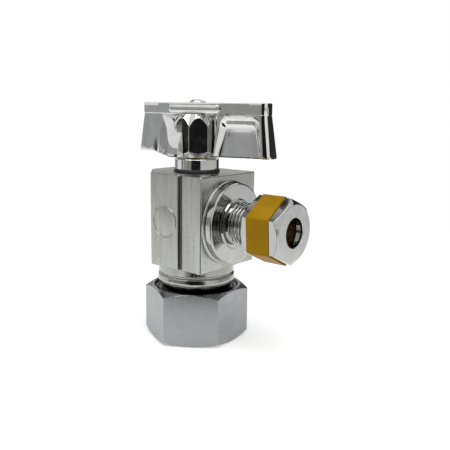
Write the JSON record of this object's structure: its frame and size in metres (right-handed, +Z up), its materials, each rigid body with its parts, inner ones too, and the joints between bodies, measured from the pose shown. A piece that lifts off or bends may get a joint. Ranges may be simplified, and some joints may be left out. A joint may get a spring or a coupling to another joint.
{
  "type": "angle stop valve",
  "caption": "Quarter-turn angle stop valve: chromed block body, compression inlet below, compression outlet at the side, winged handle on top.",
  "frame": {"origin": "on the inlet axis, in the plane of the inlet nut's lower end face", "axes": "+Z up along the inlet axis towards the handle, +X along the outlet axis, out of the outlet nut"},
  "size_m": [0.0492, 0.0274, 0.0617],
  "materials": {
    "satin_chrome": "satin chrome plate with fine upright drawing lines",
    "nut_chrome": "even satin chrome plate",
    "bright_chrome": "polished chrome plate",
    "brass": "plain turned brass",
    "white_seat": "low-friction seat plastic",
    "black_rubber": "moulded rubber",
    "steel": "plated steel",
    "yellow_band": "thin mustard yellow film sleeve"
  },
  "bodies": {
    "valve": {"valve_body": "satin_chrome", "outlet_adapter": "satin_chrome", "adapter_o_ring": "black_rubber", "outlet_seat": "white_seat", "rear_seat": "white_seat", "bonnet": "bright_chrome", "bonnet_gasket": "black_rubber"},
    "handle": {"handle": "bright_chrome", "handle_screw": "steel", "screw_washer": "steel", "stem": "brass", "stem_o_ring_lower": "black_rubber", "stem_o_ring_upper": "black_rubber", "thrust_washer": "white_seat"},
    "ball": {"ball": "bright_chrome"},
    "inlet_ferrule": {"inlet_ferrule": "brass"},
    "inlet_nut": {"inlet_nut": "nut_chrome"},
    "outlet_ferrule": {"outlet_ferrule": "brass"},
    "outlet_nut": {"outlet_nut": "bright_chrome", "size_band": "yellow_band"}
  },
  "joints": [
    {"name": "handle_turn", "type": "hinge", "parent": "valve", "child": "handle", "pos_m": [0, 0, 0.054], "axis": [0, 0, 1], "range_deg": [-90, 0]},
    {"name": "ball_turn", "type": "hinge", "parent": "valve", "child": "ball", "pos_m": [0, 0, 0.0314], "axis": [0, 0, 1], "range_deg": [-90, 0]},
    {"name": "inlet_nut_travel", "type": "slide", "parent": "valve", "child": "inlet_ferrule", "axis": [0, 0, -1], "range_m": [0, 0.00423]},
    {"name": "inlet_nut_turn", "type": "hinge", "parent": "inlet_ferrule", "child": "inlet_nut", "pos_m": [0, 0, 0.007], "axis": [0, 0, -1], "range_deg": [0, 1080]},
    {"name": "outlet_nut_travel", "type": "slide", "parent": "valve", "child": "outlet_ferrule", "axis": [1, 0, 0], "range_m": [0, 0.00317]},
    {"name": "outlet_nut_turn", "type": "hinge", "parent": "outlet_ferrule", "child": "outlet_nut", "pos_m": [0.025, 0, 0.0314], "axis": [1, 0, 0], "range_deg": [0, 1080]}
  ],
  "couplings": [
    {"joint": "ball_turn", "follows": "handle_turn", "ratio": 1},
    {"joint": "inlet_nut_turn", "follows": "inlet_nut_travel", "rad_per_m": 4452.7},
    {"joint": "outlet_nut_turn", "follows": "outlet_nut_travel", "rad_per_m": 5936.9}
  ]
}
